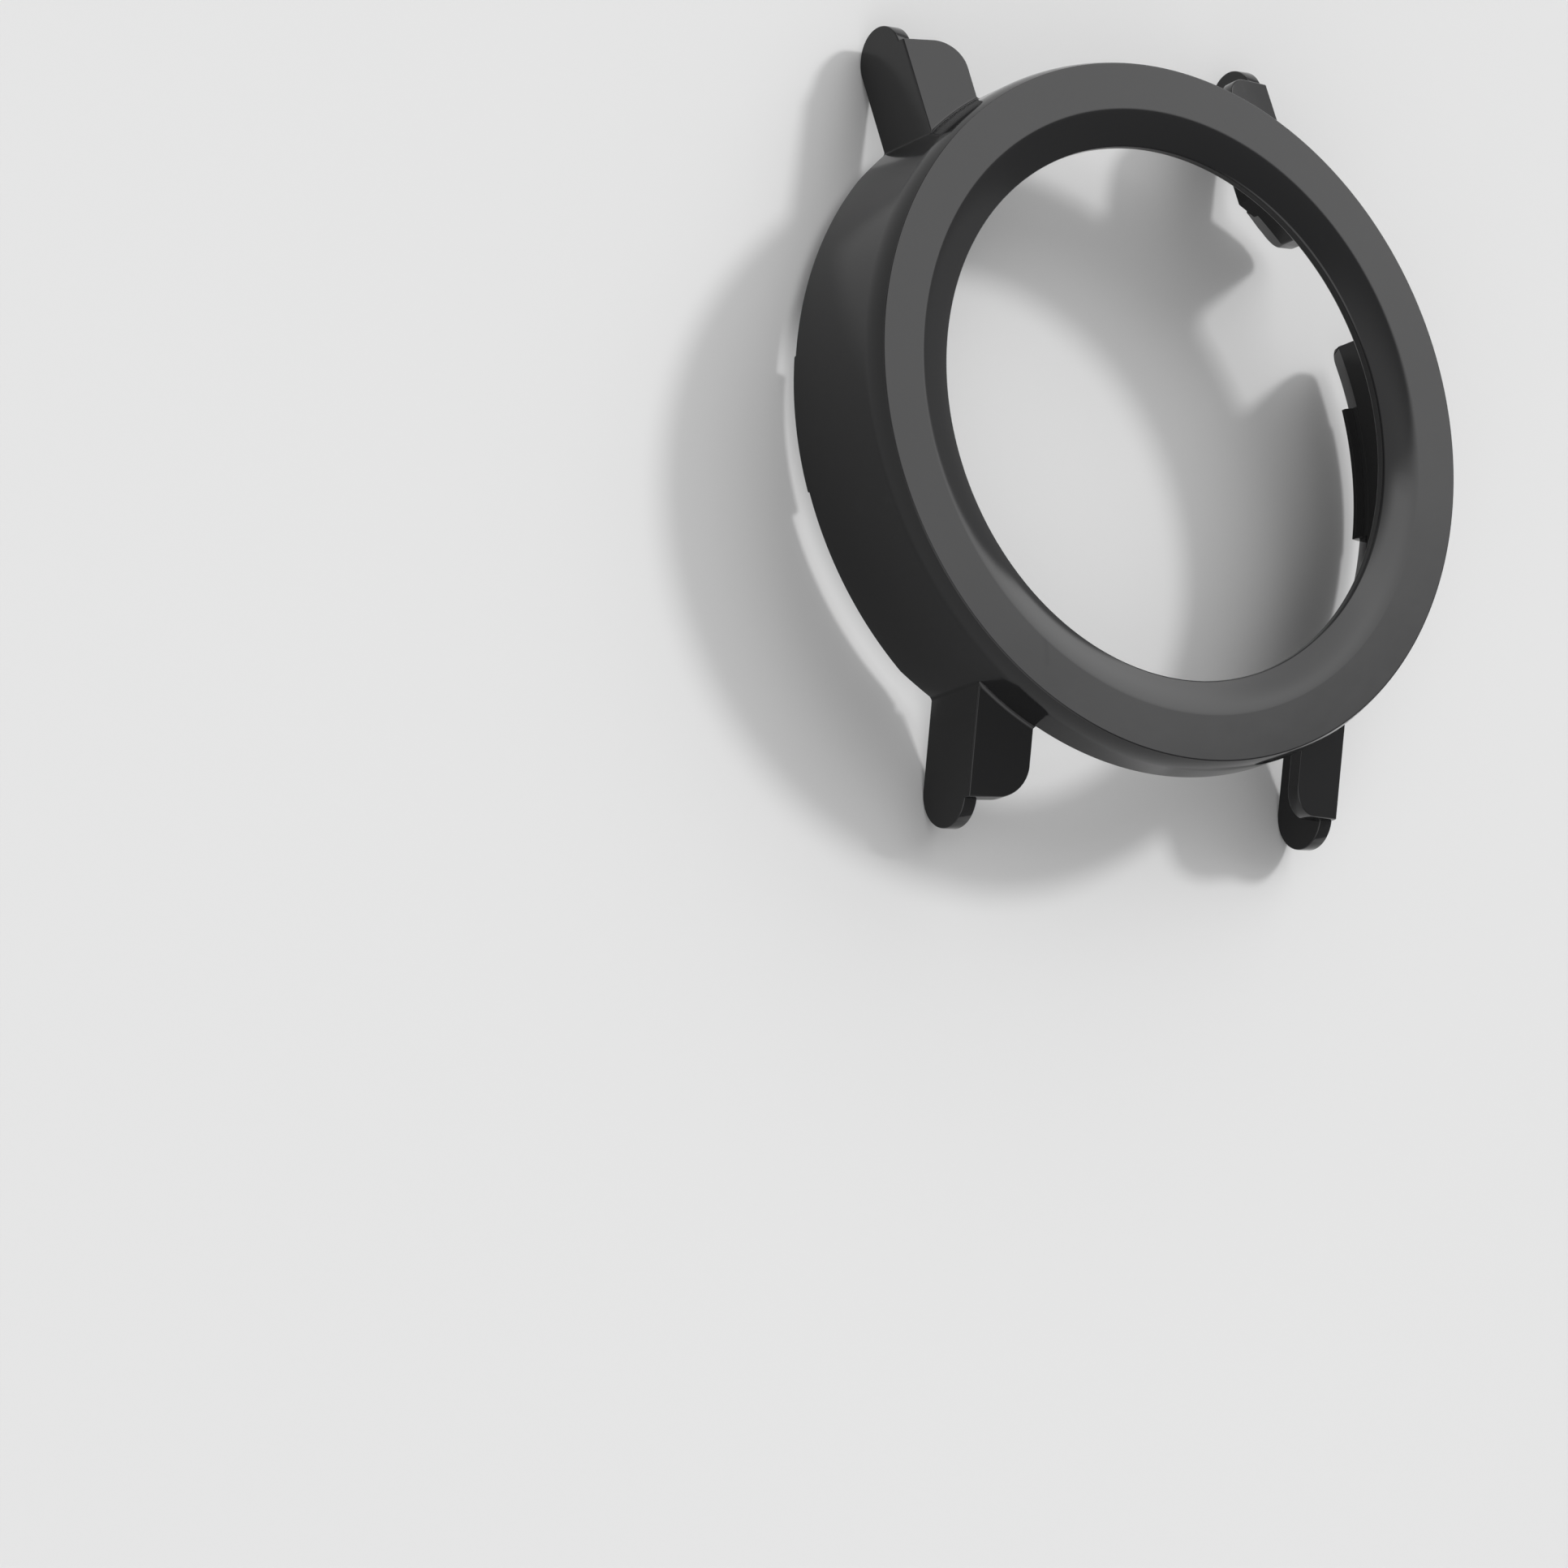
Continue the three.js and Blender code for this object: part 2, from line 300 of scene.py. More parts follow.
dish = [dish_point(s) for s in shares(26, 1.5)]
lip = [lip_point(dish_slope + (math.pi / 2 - dish_slope) * s) for s in shares(8)]
leaning_edge = [edge_point(edge_turn * s) for s in shares(12)]
ring_profile = dish + lip[1:] + [
    (OPENING, PLATE - LIP),
    (OPENING + LIP, PLATE),
    (BORE, PLATE),
    (BORE, FLANGE_DEPTH),
    (SKIRT, FLANGE_DEPTH),
] + leaning_edge
print("Ring section:", len(ring_profile), "points, dish ends at", round(math.degrees(dish_slope), 1))


# %% Turn the ring
def ring_radius(middle, edge):
    """The rim of the band is crisp, and the opening's rear corners are soft."""
    radius, depth = math.hypot(middle.x, middle.y), front - middle.z
    if depth < CLOSE:
        return CRISP
    behind_lip = abs(depth - PLATE) < CLOSE and radius < BORE - 1
    return SOFT if abs(radius - OPENING) < NEAR or behind_lip else 0


def ring_normal(face, radius, depth):
    """The drawn direction of the band, the dish, the lip and the leaning edge."""
    if face.normal.z > 0.99999:
        return 0, 1
    middle = math.hypot(face.center.x, face.center.y) / MM
    middle_depth = front - face.center.z / MM
    if dish_end < middle < BAND_INNER and face.normal.z > 0.5:
        share = max(0, (BAND_INNER - radius) / (BAND_INNER - dish_end))
        turn = math.atan(DISH_POWER * DISH_DEPTH / (BAND_INNER - dish_end) * share ** (DISH_POWER - 1))
        return -math.sin(turn), math.cos(turn)
    if middle < dish_end and middle_depth < lip_top:
        turn = math.atan2(OPENING + LIP - radius, lip_top - depth)
        return -math.sin(turn), math.cos(turn)
    if middle > FACE + NEAR and middle_depth < EDGE_DROP:
        lean = (EDGE_DROP - depth) / edge_radius
        return math.sqrt(1 - lean * lean), lean
    return wall_normal(face, radius, depth)


bezel = turned("bezel_ring_dressed", ring_profile)
round_edges(bezel, ring_radius)
settle_normals(bezel, ring_normal)
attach(bezel, "case_body")
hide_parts("bezel_ring")
print("Bezel ring:", len(bezel.data.polygons), "faces")

# %% [markdown]
# ## The skirt
# Behind the ring stands the skirt: short between the guards, where a strap has to move, and full
# depth at the sides. It could be one mesh, but two stretches of it spring out, so it is made as
# stretches that meet in flat seams. One turned section serves for the full-depth ones, trimmed
# where the next begins, and a seam is never rounded, so that it can't be seen. The rear rim is
# drawn 0.15 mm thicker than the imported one, which leaves the lead-in as narrow as it looks.

# %% One section for every full-depth stretch
SNAP_LOW, SNAP_HIGH = -6.95, 6.05
CROWN_SEAM = 9.3
SEAMS = (SNAP_LOW, -SNAP_LOW, SNAP_HIGH, CROWN_SEAM)
RIM_RADIUS = 0.12

skirt_profile = [
    (BORE, FLANGE_DEPTH),
    (SKIRT, FLANGE_DEPTH),
    (SKIRT, SKIRT_DEPTH),
    (SKIRT - RIM, SKIRT_DEPTH),
    (BORE, SKIRT_DEPTH - LEAD_IN),
]


def on_seam(edge):
    """True for an edge in a plane where two stretches of the one moulding meet."""
    ends = [v.co / MM for v in edge.verts]
    if any(all(abs(end.y - plane) < CLOSE for end in ends) for plane in SEAMS):
        return True
    if all(abs(end.x - GUARD_X) < CLOSE for end in ends):
        return True
    return all(front - end.z < FLANGE_DEPTH + CLOSE for end in ends)


print("The lead-in thins the rear rim to", RIM, "mm over", LEAD_IN, "mm")

# %% [markdown]
# ### Cutting a stretch and moving it
# The case is nearly symmetrical, so each stretch is made once, for the right upper quarter. A
# plane cut with bmesh is exact, and quicker than a Boolean. A negative scale on the object would
# mirror it too, but its normals could then flip in an export, so the mesh itself is mirrored.

# %% Trim a stretch, and mirror it to its quarter
ON_PLANE = 1e-8


def trim(piece, x=None, y=None, past=1):
    """Cuts off what lies beyond a plane of x or y, on its high side, or its low side for -1."""
    mesh = bmesh.new()
    mesh.from_mesh(piece.data)
    normal = Vector((past, 0, 0)) if x is not None else Vector((0, past, 0))
    place = Vector((x or 0, y or 0, 0)) * MM
    cut = bmesh.ops.bisect_plane(mesh, geom=[*mesh.verts, *mesh.edges, *mesh.faces], dist=ON_PLANE,
                                 plane_co=place, plane_no=normal, clear_outer=True)
    rim = [e for e in cut["geom_cut"] if isinstance(e, bmesh.types.BMEdge)]
    bmesh.ops.edgeloop_fill(mesh, edges=rim)
    bmesh.ops.recalc_face_normals(mesh, faces=mesh.faces)
    mesh.to_mesh(piece.data)
    mesh.free()


def mirrored(piece, sign_x, sign_y):
    """Moves a piece made for the right upper quarter to its own quarter of the case."""
    mesh = bmesh.new()
    mesh.from_mesh(piece.data)
    bmesh.ops.transform(mesh, matrix=Matrix.Diagonal((sign_x, sign_y, 1, 1)), verts=mesh.verts)
    if sign_x * sign_y < 0:
        bmesh.ops.reverse_faces(mesh, faces=mesh.faces)
    mesh.to_mesh(piece.data)
    mesh.free()


# %% [markdown]
# ### Strap walls
# The two short stretches between the guards carry no joint: they are tied to the ring all along.
# They have no lead-in, so their section is a plain rectangle.

# %% Make the strap walls
def strap_wall_radius(middle, edge):
    """Only the free stretch of the rear rim is rounded: the rest runs into the ring and the guards."""
    free = abs(front - STRAP_DEPTH - middle.z) < NEAR and abs(middle.x) < STRAP_X
    return RIM_RADIUS if free else 0


strap_profile = [(BORE, FLANGE_DEPTH), (SKIRT, FLANGE_DEPTH), (SKIRT, STRAP_DEPTH), (BORE, STRAP_DEPTH)]
for place, sign_y in (("top", 1), ("bottom", -1)):
    wall = turned(f"strap_wall_{place}_dressed", strap_profile, start=40, stop=140)
    trim(wall, x=GUARD_X)
    trim(wall, x=-GUARD_X, past=-1)
    round_edges(wall, strap_wall_radius)
    mirrored(wall, 1, sign_y)
    settle_normals(wall)
    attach(wall, "case_body")
    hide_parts(f"strap_wall_{place}")
    print(wall.name, len(wall.data.polygons), "faces")

# %% [markdown]
# ### Side walls
# The full-depth stretches beside the guards are cut: their rear rim rises to meet the guard's
# rear edge, and the one at the upper right is open for the crown, which leaves a narrow post.
# Points of the section can't make these cuts, because both run across it. A Boolean modifier
# makes them, and its exact solver copes with faces that lie in one plane.

# %% Make a cutter and cut with it
OVERRUN = 3


def slab(name, outline, place, near, far):
    """An outline of (u, v) points, made solid between two values of w by place(u, v, w)."""
    mesh = bmesh.new()
    ends = [[mesh.verts.new(place(u, v, w)) for u, v in outline] for w in (near, far)]
    for end in ends:
        mesh.faces.new(end)
    count = len(outline)
    for i in range(count):
        k = (i + 1) % count
        mesh.faces.new((ends[0][i], ends[0][k], ends[1][k], ends[1][i]))
    bmesh.ops.recalc_face_normals(mesh, faces=mesh.faces)
    return piece_from(mesh, name)


def outlet(name, points):
    """A cutter drawn in y and depth, which passes right through the side wall."""
    return slab(name, points, lambda y, depth, x: at(x, y, depth), GUARD_X - OVERRUN, SKIRT + OVERRUN)


def combine(piece, tool, way):
    """Joins a tool to the piece (UNION) or cuts it away (DIFFERENCE)."""
    step = piece.modifiers.new(way, "BOOLEAN")
    step.operation = way
    step.solver = "EXACT"
    step.object = tool
    keep(piece)
    data = tool.data
    bpy.data.objects.remove(tool)
    bpy.data.meshes.remove(data)


# %% [markdown]
# ### Two cuts in the side walls
# Beside each guard the rear rim rises along a slant to the rear edge of the guard's strip, so
# the lines of a strip are worked out here, and the guards use them again later. The crown's
# opening is open at the rear, so that the case can be pushed on. It has two rounded corners at
# its top and a flared mouth, so its outline is drawn with four arcs.

# %% The rim's rise, up to where the guard's strip ends
GUARD_SLOPE = math.radians(17)
FOLD_DEPTH = 3.67
STRIP_WIDTH = 4.5
STRIP_STEP = 0.48
RISE_LENGTH = 1.8

root_y = math.sqrt(SKIRT ** 2 - GUARD_X ** 2)
rise = math.tan(GUARD_SLOPE)
strip_drop = STRIP_WIDTH / math.cos(GUARD_SLOPE)


def fold_depth(y):
    """Depth of a guard's fold, where its plate meets its strip."""
    return FOLD_DEPTH + (y - root_y) * rise


def strip_rear(y):
    """Depth of a side strip's rear edge."""
    return fold_depth(y) + STRIP_STEP + strip_drop


def rim_rise():
    """The slanted cut by which the rear rim rises to the guard's rear edge."""
    return outlet("rim_rise", [
        (root_y - RISE_LENGTH, SKIRT_DEPTH),
        (root_y, strip_rear(root_y)),
        (root_y + OVERRUN, strip_rear(root_y)),
        (root_y + OVERRUN, SKIRT_DEPTH + OVERRUN),
        (root_y - RISE_LENGTH, SKIRT_DEPTH + OVERRUN),
    ])


print("The guards leave the skirt", round(root_y, 2), "mm from the middle")

# %% The opening for the crown
CROWN_LOW, CROWN_HIGH = 8.1, 14.8


def arc(u, v, radius, start, stop, steps):
    """Points on an arc, with its angles in degrees."""
    angles = [math.radians(start + (stop - start) * i / steps) for i in range(steps + 1)]
    return [(u + radius * math.cos(a), v + radius * math.sin(a)) for a in angles]


def crown_outlet():
    """Open at the rear, with a flared mouth there and rounded corners at its top."""
    top, mouth, corner, steps = 3, 0.9, 1.2, 10
    points = [(CROWN_LOW - mouth, SKIRT_DEPTH + OVERRUN), (CROWN_LOW - mouth, SKIRT_DEPTH)]
    points += arc(CROWN_LOW - mouth, SKIRT_DEPTH - mouth, mouth, 90, 0, steps)[1:]
    points += arc(CROWN_LOW + corner, top + corner, corner, 180, 270, steps)
    points += arc(CROWN_HIGH - corner, top + corner, corner, 270, 360, steps)
    points += arc(CROWN_HIGH + mouth, SKIRT_DEPTH - mouth, mouth, 180, 90, steps)
    points += [(CROWN_HIGH + mouth, SKIRT_DEPTH + OVERRUN)]
    return outlet("crown_outlet", points)


print("The crown's opening is", round(CROWN_HIGH - CROWN_LOW, 2), "mm long")

# %% [markdown]
# ### Rows of points down a wall
# The real case has no hinge: when a hook is pushed out, the wall bends between the ring, which
# holds it, and the hook. A rigid piece would cut into the ring. Here a wall only gets rows of
# points down its depth, between the ring and the hook, which leave its shape as it is, and its
# placement is baked into its mesh; it is tied to no body and doesn't bend.

# %% Rows of points down a wall, and its placement baked
BEND_STOP = SKIRT_DEPTH - LEAD_IN - 0.15
BEND_ROWS = 8


def add_rows(wall):
    """Rows of points between the ring and the hook, which leave the shape as it is."""
    mesh = bmesh.new()
    mesh.from_mesh(wall.data)
    for row in range(1, BEND_ROWS + 1):
        depth = FLANGE_DEPTH + (BEND_STOP - FLANGE_DEPTH) * row / BEND_ROWS
        bmesh.ops.bisect_plane(mesh, geom=[*mesh.verts, *mesh.edges, *mesh.faces], dist=ON_PLANE,
                               plane_co=at(0, 0, depth), plane_no=(0, 0, 1))
    mesh.to_mesh(wall.data)
    mesh.free()


def bend(wall):
    """Bakes the wall's placement into its mesh, and leaves it unbent."""
    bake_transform(wall)


print("The walls bend over", round(BEND_STOP - FLANGE_DEPTH, 2), "mm of their depth")


# %% [markdown]
# ### The four side walls
# Each is turned from the shared section, trimmed at its seams and cut where the rim rises, and the
# one at the upper right also by the crown's opening, which leaves a narrow post that only a thin
# strip joins to the hook's wall. The walls are tied to no body.

# %% Make the side walls
STILL_FROM = 15.5


def wall_radius(middle, edge):
    """Every edge but the seams is rounded alike."""
    return 0 if on_seam(edge) else RIM_RADIUS


for place, sign_x, sign_y, start_y, still in (
        ("top_left", -1, 1, SNAP_HIGH, STILL_FROM),
        ("bottom_left", -1, -1, -SNAP_LOW, STILL_FROM),
        ("top_right", 1, 1, CROWN_SEAM, CROWN_HIGH),
        ("bottom_right", 1, -1, -SNAP_LOW, STILL_FROM)):
    wall = turned(f"side_wall_{place}_dressed", skirt_profile, start=10, stop=55)
    trim(wall, x=GUARD_X, past=-1)
    trim(wall, y=start_y, past=-1)
    combine(wall, rim_rise(), "DIFFERENCE")
    if place == "top_right":
        combine(wall, crown_outlet(), "DIFFERENCE")
    round_edges(wall, wall_radius)
    add_rows(wall)
    mirrored(wall, sign_x, sign_y)
    settle_normals(wall)
    bend(wall)
    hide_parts(f"side_wall_{place}")
    print(wall.name, len(wall.data.polygons), "faces")

# %% [markdown]
# ### Snap walls
# At 3 and 9 o'clock the skirt carries a hook: a low bead inside the rim that grips from behind.
# Wall and hook spring outwards together, so they are one piece, and the hook is turned like the
# wall and joined to it. On the right the wall reaches over the crown's opening, so that the
# rounded corner of that opening lies in one piece.

# %% Draw the hook's section
HOOK_LOW, HOOK_HIGH = -4.95, 4.05
HOOK_PROUD = 0.35
HOOK_FOOT = SKIRT_DEPTH + 0.11
SUNK = 0.005

hook_profile = [
    (SKIRT - 0.5, BEND_STOP),
    (SKIRT - 0.5, SKIRT_DEPTH),
    (SKIRT, SKIRT_DEPTH),
    (SKIRT, HOOK_FOOT),
    (SKIRT - RIM, HOOK_FOOT),
    (BORE - HOOK_PROUD, SKIRT_DEPTH - 0.2),
    (BORE - HOOK_PROUD, SKIRT_DEPTH - 0.55),
    (BORE - SUNK, SKIRT_DEPTH - 0.9),
    (BORE - SUNK, SKIRT_DEPTH - LEAD_IN + 0.02),
    (BORE + 0.2, BEND_STOP),
]
print("The hooks are", round(HOOK_HIGH - HOOK_LOW, 2), "mm long and", HOOK_PROUD, "mm proud")


# %% Make the snap walls with their hooks
def snap_wall_radius(middle, edge):
    """Crisper beside the hook, where the faces are small."""
    if on_seam(edge):
        return 0
    beside_hook = abs(middle.y - (HOOK_LOW + HOOK_HIGH) / 2) < (HOOK_HIGH - HOOK_LOW) / 2 + NEAR
    return CRISP if beside_hook else RIM_RADIUS


for side, sign_x, high in (("left", -1, SNAP_HIGH), ("right", 1, CROWN_SEAM)):
    wall = turned(f"snap_wall_{side}_dressed", skirt_profile, start=-25, stop=28)
    trim(wall, y=high)
    trim(wall, y=SNAP_LOW, past=-1)
    if side == "right":
        combine(wall, crown_outlet(), "DIFFERENCE")
    hook = turned("hook", hook_profile, start=-20, stop=20)
    trim(hook, y=HOOK_HIGH)
    trim(hook, y=HOOK_LOW, past=-1)
    combine(wall, hook, "UNION")
    round_edges(wall, snap_wall_radius)
    add_rows(wall)
    mirrored(wall, sign_x, 1)
    settle_normals(wall)
    bend(wall)
    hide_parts(f"snap_wall_{side}")
    print(wall.name, len(wall.data.polygons), "faces")

# %% [markdown]
# ## The lug guards
# Each guard is one L-shaped form: a front plate that slopes back and falls away to its outer
# side, and an upright strip beside it that reaches further and ends in a half circle. It could
# be a bent sheet with a Solidify modifier, but the plate and the strip differ in slope, so they
# are drawn as two slabs and joined. The bore and the strap wall are cut from their roots.

# %% Draw the plate and the strip
GUARD_WALL = 1.05
GUARD_TILT = math.radians(10.7)
GUARD_ROOT = 13
PLATE_REACH = 25.2
PLATE_CORNER = 1.9
STRIP_REACH = 26.7

fall = math.tan(GUARD_TILT)
plate_drop = GUARD_WALL * math.sqrt(1 + rise ** 2 + fall ** 2)


def on_plate(x, y, below):
    """A place on a front plate: seen from the front at x, y, and so far behind its face."""
    return at(x, y, fold_depth(y) - (GUARD_X - x) * fall + below)


def guard_plate():
    """The front plate, with its free corner rounded."""
    outline = [(STRAP_X, GUARD_ROOT), (GUARD_X, GUARD_ROOT), (GUARD_X, PLATE_REACH)]
    outline += arc(STRAP_X + PLATE_CORNER, PLATE_REACH - PLATE_CORNER, PLATE_CORNER, 90, 180, 16)
    return slab("plate", outline, on_plate, 0, plate_drop)


def guard_strip():
    """The upright strip, with its half circle end."""
    end = STRIP_WIDTH / 2
    end_y = STRIP_REACH - end
    end_depth = fold_depth(end_y) + STRIP_STEP + strip_drop / 2
    slope = math.degrees(GUARD_SLOPE)
    outline = [(GUARD_ROOT, fold_depth(GUARD_ROOT) + STRIP_STEP), (GUARD_ROOT, strip_rear(GUARD_ROOT))]
    outline += arc(end_y, end_depth, end, 90 + slope, -90 + slope, 40)
    return slab("strip", outline, lambda y, depth, x: at(x, y, depth), GUARD_X - GUARD_WALL, GUARD_X)


print("The strips reach", STRIP_REACH, "mm from the middle")


# %% [markdown]
# ### A guard's edges
# The fold between plate and strip is the softest edge, the others are crisper, and edges that
# lie against the skirt stay sharp. Where an edge lies tells which it is, so the rule goes by
# the place of its middle.

# %% Round a guard's own edges
FOLD_RADIUS = 0.16


def guard_radius(middle, edge):
    """Edges on the bore or behind the strap wall stay sharp, and the fold is the softest."""
    if math.hypot(middle.x, middle.y) < BORE + 2 * NEAR or abs(front - STRAP_DEPTH - middle.z) < NEAR:
        return 0
    on_fold = abs(middle.x - GUARD_X) < NEAR and abs(front - fold_depth(middle.y) - middle.z) < 2 * NEAR
    runs_along = abs(edge.verts[0].co.y - edge.verts[1].co.y) > 0.5 * MM
    return FOLD_RADIUS if on_fold and runs_along else SOFT


# %% [markdown]
# ### Root fillets
# A small fillet runs where each guard grows out of the skirt. The Bevel modifier can't make it,
# as guard and skirt are separate pieces, so it is laid along the root as a thin strip of its
# own: a row of points is an arc that touches both surfaces, and a last point hidden below.

# %% Lay a fillet along a root
FILLET = 0.32
HIDDEN = 0.1


def fillet(name, path):
    """A concave fillet along (place, wall normal, guard normal, radius) stations."""
    mesh = bmesh.new()
    rows = []
    for place, wall, guard, radius in path:
        centre = place + (wall + guard) * (radius * MM / (1 + wall.dot(guard)))
        arc_points = [centre - radius * MM * wall.slerp(guard, t).normalized() for t in shares(6)]
        hidden = place - (wall + guard) * HIDDEN * MM
        rows.append([mesh.verts.new(p) for p in (*arc_points, hidden)])
    mesh.faces.new(rows[0])
    mesh.faces.new(list(reversed(rows[-1])))
    for near, far in zip(rows, rows[1:]):
        for i in range(len(near)):
            k = (i + 1) % len(near)
            mesh.faces.new((near[i], far[i], far[k], near[k]))
    bmesh.ops.recalc_face_normals(mesh, faces=mesh.faces)
    return piece_from(mesh, name)


# %% Find the two roots of a guard
def strip_root():
    """Stations down the strip's root on the skirt, where the radius grows within one step."""
    flank = math.atan2(root_y, GUARD_X)
    wall, outer = Vector((math.cos(flank), math.sin(flank), 0)), Vector((1, 0, 0))
    top, rear, steps = fold_depth(root_y), strip_rear(root_y), 12
    path = []
    for i in range(steps + 1):
        depth = top + 0.1 + (rear - top - 0.12) * i / steps
        path.append((at(GUARD_X, root_y, depth), wall, outer, FILLET * min(1, 0.3 + i)))
    return path


def plate_root():
    """Stations along the front plate's root, from the strip to the strap gap."""
    face = Vector((fall, rise, 1)).normalized()
    flank = math.atan2(root_y, GUARD_X)
    gap = math.atan2(math.sqrt(SKIRT ** 2 - STRAP_X ** 2), STRAP_X)
    steps = 24
    path = []
    for i in range(steps + 1):
        angle = flank + (gap - flank) * i / steps
        c, s = math.cos(angle), math.sin(angle)
        place = on_plate(SKIRT * c, SKIRT * s, 0)
        path.append((place, Vector((c, s, 0)), face, FILLET * min(1, 0.2 + i * 0.4)))
    return path


# %% [markdown]
# ### One solid guard
# Boolean cuts leave thin triangles in flat faces, and a bevel over those leaves cracks. So faces
# in one plane are melted together before the edges are rounded. A guard's root is filled up to
# the skirt first, as in the moulding.

# %% Put a guard together
GROWN_IN = 0.5
ROOT_DEPTH = 4.2


def merged(piece, parts=()):
    """Joins parts to the piece as they are, and melts faces that lie in one plane."""
    mesh = bmesh.new()
    mesh.from_mesh(piece.data)
    bmesh.ops.remove_doubles(mesh, verts=mesh.verts, dist=1e-7)
    bmesh.ops.dissolve_limit(mesh, angle_limit=math.radians(0.05), verts=mesh.verts, edges=mesh.edges)
    for part in parts:
        mesh.from_mesh(part.data)
        bpy.data.objects.remove(part)
    mesh.to_mesh(piece.data)
    mesh.free()


def rooted(piece):
    """Fills the corner between plate and skirt, then clears the bore and the strap wall's place."""
    inner = BORE - GROWN_IN
    root = turned("root", [
        (inner, STRAP_DEPTH), (SKIRT, STRAP_DEPTH), (SKIRT, ROOT_DEPTH), (inner, ROOT_DEPTH)], 40, 70)
    trim(root, x=GUARD_X)
    trim(root, x=STRAP_X, past=-1)
    combine(piece, root, "UNION")
    front_end, rear_end = -OVERRUN, SKIRT_DEPTH + OVERRUN
    bore = turned("bore", [(CLOSE, front_end), (BORE, front_end), (BORE, rear_end), (CLOSE, rear_end)])
    combine(piece, bore, "DIFFERENCE")
    far = STRIP_REACH + OVERRUN
    square = [(0, 0), (far, 0), (far, far), (0, far)]
    combine(piece, slab("strap_wall_space", square, at, front_end, STRAP_DEPTH), "DIFFERENCE")


# %% Make the four guards
for place, sign_x, sign_y in (
        ("top_left", -1, 1), ("top_right", 1, 1), ("bottom_left", -1, -1), ("bottom_right", 1, -1)):
    piece = guard_plate()
    piece.name = f"lug_guard_{place}_dressed"
    combine(piece, guard_strip(), "UNION")
    rooted(piece)
    merged(piece)
    round_edges(piece, guard_radius)
    merged(piece, [fillet("fillet_beside", strip_root()), fillet("fillet_above", plate_root())])
    mirrored(piece, sign_x, sign_y)
    settle_normals(piece)
    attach(piece, "case_body")
    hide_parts(f"lug_guard_side_{place}", f"lug_guard_front_{place}")
    print(piece.name, len(piece.data.polygons), "faces")

# %% [markdown]
# ## Gloss black plastic
# The plastic is nearly black all through, so all one sees is what it reflects. What makes it
# look moulded rather than painted is small: a faint waviness from the mould, hairlines from
# handling, and a haze that makes some places a little duller. Photographs of scratches could be
# projected on it, but noise in the piece's own coordinates has no seams and no limit of detail.
# Both finishes further down use these effects, so each effect is a node group.

# %% Helpers for node groups
def new_group(name, inputs, outputs):
    """A node group with named number sockets, and its two ends."""
    group = bpy.data.node_groups.new(name, "ShaderNodeTree")
    for label, value in inputs:
        socket = group.interface.new_socket(label, in_out="INPUT", socket_type="NodeSocketFloat")
        socket.default_value = value
    for label in outputs:
        group.interface.new_socket(label, in_out="OUTPUT", socket_type="NodeSocketFloat")
    nodes = group.nodes
    return group, nodes.new("NodeGroupInput"), nodes.new("NodeGroupOutput")


def noise(group, scale, detail, stretch=None):
    """A noise texture in the piece's own coordinates, turned and stretched if asked."""
    nodes, links = group.nodes, group.links
    where = nodes.new("ShaderNodeTexCoord")
    texture = nodes.new("ShaderNodeTexNoise")
    texture.inputs["Detail"].default_value = detail
    if stretch:
        mapping = nodes.new("ShaderNodeMapping")
        mapping.inputs["Rotation"].default_value = stretch[0]
        mapping.inputs["Scale"].default_value = stretch[1]
        links.new(where.outputs["Object"], mapping.inputs["Vector"])
        links.new(mapping.outputs["Vector"], texture.inputs["Vector"])
    else:
        links.new(where.outputs["Object"], texture.inputs["Vector"])
    if isinstance(scale, (int, float)):
        texture.inputs["Scale"].default_value = scale
    else:
        links.new(scale, texture.inputs["Scale"])
    return texture.outputs["Fac"]


def calculate(group, operation, *values):
    """A Math node on values that are numbers or outputs of other nodes."""
    node = group.nodes.new("ShaderNodeMath")
    node.operation = operation
    for socket, value in zip(node.inputs, values):
        if isinstance(value, (int, float)):
            socket.default_value = value
        else:
            group.links.new(value, socket)
    return node.outputs[0]


# %% A group for the mould's waviness
FINE_SCALE, FINE_HEIGHT = 4.3, 0.12

waviness, wave_in, wave_out = new_group("mould_waviness", [("Scale", 500), ("Amount", 1)], ["Height"])
broad = noise(waviness, wave_in.outputs["Scale"], 1)
fine = noise(waviness, calculate(waviness, "MULTIPLY", wave_in.outputs["Scale"], FINE_SCALE), 2)
both = calculate(waviness, "ADD", broad, calculate(waviness, "MULTIPLY", fine, FINE_HEIGHT))
height = calculate(waviness, "MULTIPLY", both, wave_in.outputs["Amount"])
waviness.links.new(height, wave_out.inputs["Height"])
print("Node group", waviness.name)

# %% [markdown]
# ### Hairlines
# A case that is pushed on and off gathers fine scratches in a few directions. Three noises, each
# stretched into streaks, are cut off high, so that only their crests remain, and a broad noise
# keeps them to patches.

# %% A group for handling hairlines
hairlines, hair_in, hair_out = new_group("handling_hairlines", [("Density", 0.5)], ["Mask"])
masks = []
for rotation, stretch in (
        ((0, 0, 0.5), (900, 26, 400)), ((0, 0, 2.1), (760, 20, 300)), ((0.4, 0, 1.3), (640, 30, 500))):
    streak = noise(hairlines, 1, 2, (rotation, stretch))
    sharp = hairlines.nodes.new("ShaderNodeMapRange")
    sharp.inputs["From Min"].default_value = 0.72
    sharp.inputs["From Max"].default_value = 0.8
    hairlines.links.new(streak, sharp.inputs["Value"])
    masks.append(sharp.outputs["Result"])
most = calculate(hairlines, "MAXIMUM", calculate(hairlines, "MAXIMUM", masks[0], masks[1]), masks[2])
patches = noise(hairlines, 140, 2)
worn = calculate(hairlines, "MULTIPLY", most, calculate(hairlines, "GREATER_THAN", patches, 0.5))
mask = calculate(hairlines, "MULTIPLY", worn, hair_in.outputs["Density"])
hairlines.links.new(mask, hair_out.inputs["Mask"])
